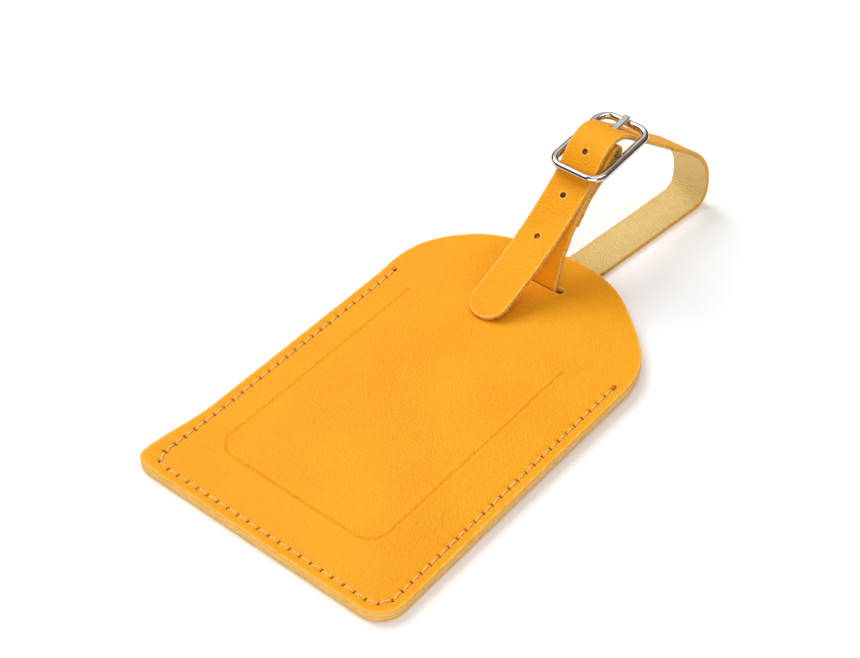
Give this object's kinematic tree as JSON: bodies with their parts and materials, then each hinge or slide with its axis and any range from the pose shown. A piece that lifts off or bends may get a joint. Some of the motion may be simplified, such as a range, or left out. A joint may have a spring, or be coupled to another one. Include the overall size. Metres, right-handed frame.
{
  "type": "luggage tag",
  "caption": "Domed two-panel luggage tag with a card pocket and window, and a leather strap loop closed by a centre-bar buckle.",
  "frame": {"origin": "on the tag's back face, where the tag's middle line crosses the middle line of the strap slot", "axes": "+Y along the tag from its stitched end to the strap end, +Z out of the front face"},
  "size_m": [0.07, 0.1591, 0.0362],
  "materials": {
    "coated_leather": "fine-grained coated leather, satin",
    "woven_backing": "fine cotton weave",
    "sewing_thread": "twisted polyester",
    "melted_thread": "melted thread end",
    "clear_window": "clear film",
    "card": "smooth card",
    "nickel_plate": "polished nickel plate"
  },
  "bodies": {
    "tag": {"front_skin": "coated_leather", "front_lining": "woven_backing", "back_skin": "coated_leather", "back_lining": "woven_backing", "window_sheet": "clear_window", "needle_thread": "sewing_thread", "bobbin_thread": "sewing_thread", "seam_tacks": "melted_thread", "strap_skin_in_slot": "coated_leather", "strap_backing_in_slot": "woven_backing"},
    "loop": {"strap_skin_buckle_end": "coated_leather", "strap_backing_buckle_end": "woven_backing", "strap_skin_tongue_end": "coated_leather", "strap_backing_tongue_end": "woven_backing", "fold_stitches": "sewing_thread"},
    "buckle": {"buckle_frame": "nickel_plate"},
    "tongue_pin": {"prong": "nickel_plate"},
    "card": {"name_card": "card"}
  },
  "joints": [
    {"name": "strap_swing", "type": "hinge", "parent": "tag", "child": "loop", "pos_m": [-0.0024, 0, 0.0014], "axis": [-1, 0, 0], "range_deg": [0, 45]},
    {"name": "buckle_rock", "type": "hinge", "parent": "loop", "child": "buckle", "pos_m": [-0.003, 0.0232, 0.0297], "axis": [1, 0, 0], "range_deg": [-1, 1]},
    {"name": "prong_lift", "type": "hinge", "parent": "buckle", "child": "tongue_pin", "pos_m": [-0.003, 0.0232, 0.0297], "axis": [1, 0, 0], "range_deg": [0, 4]},
    {"name": "card_slide", "type": "slide", "parent": "tag", "child": "card", "axis": [0, 1, 0], "range_m": [0, 0.01]}
  ]
}
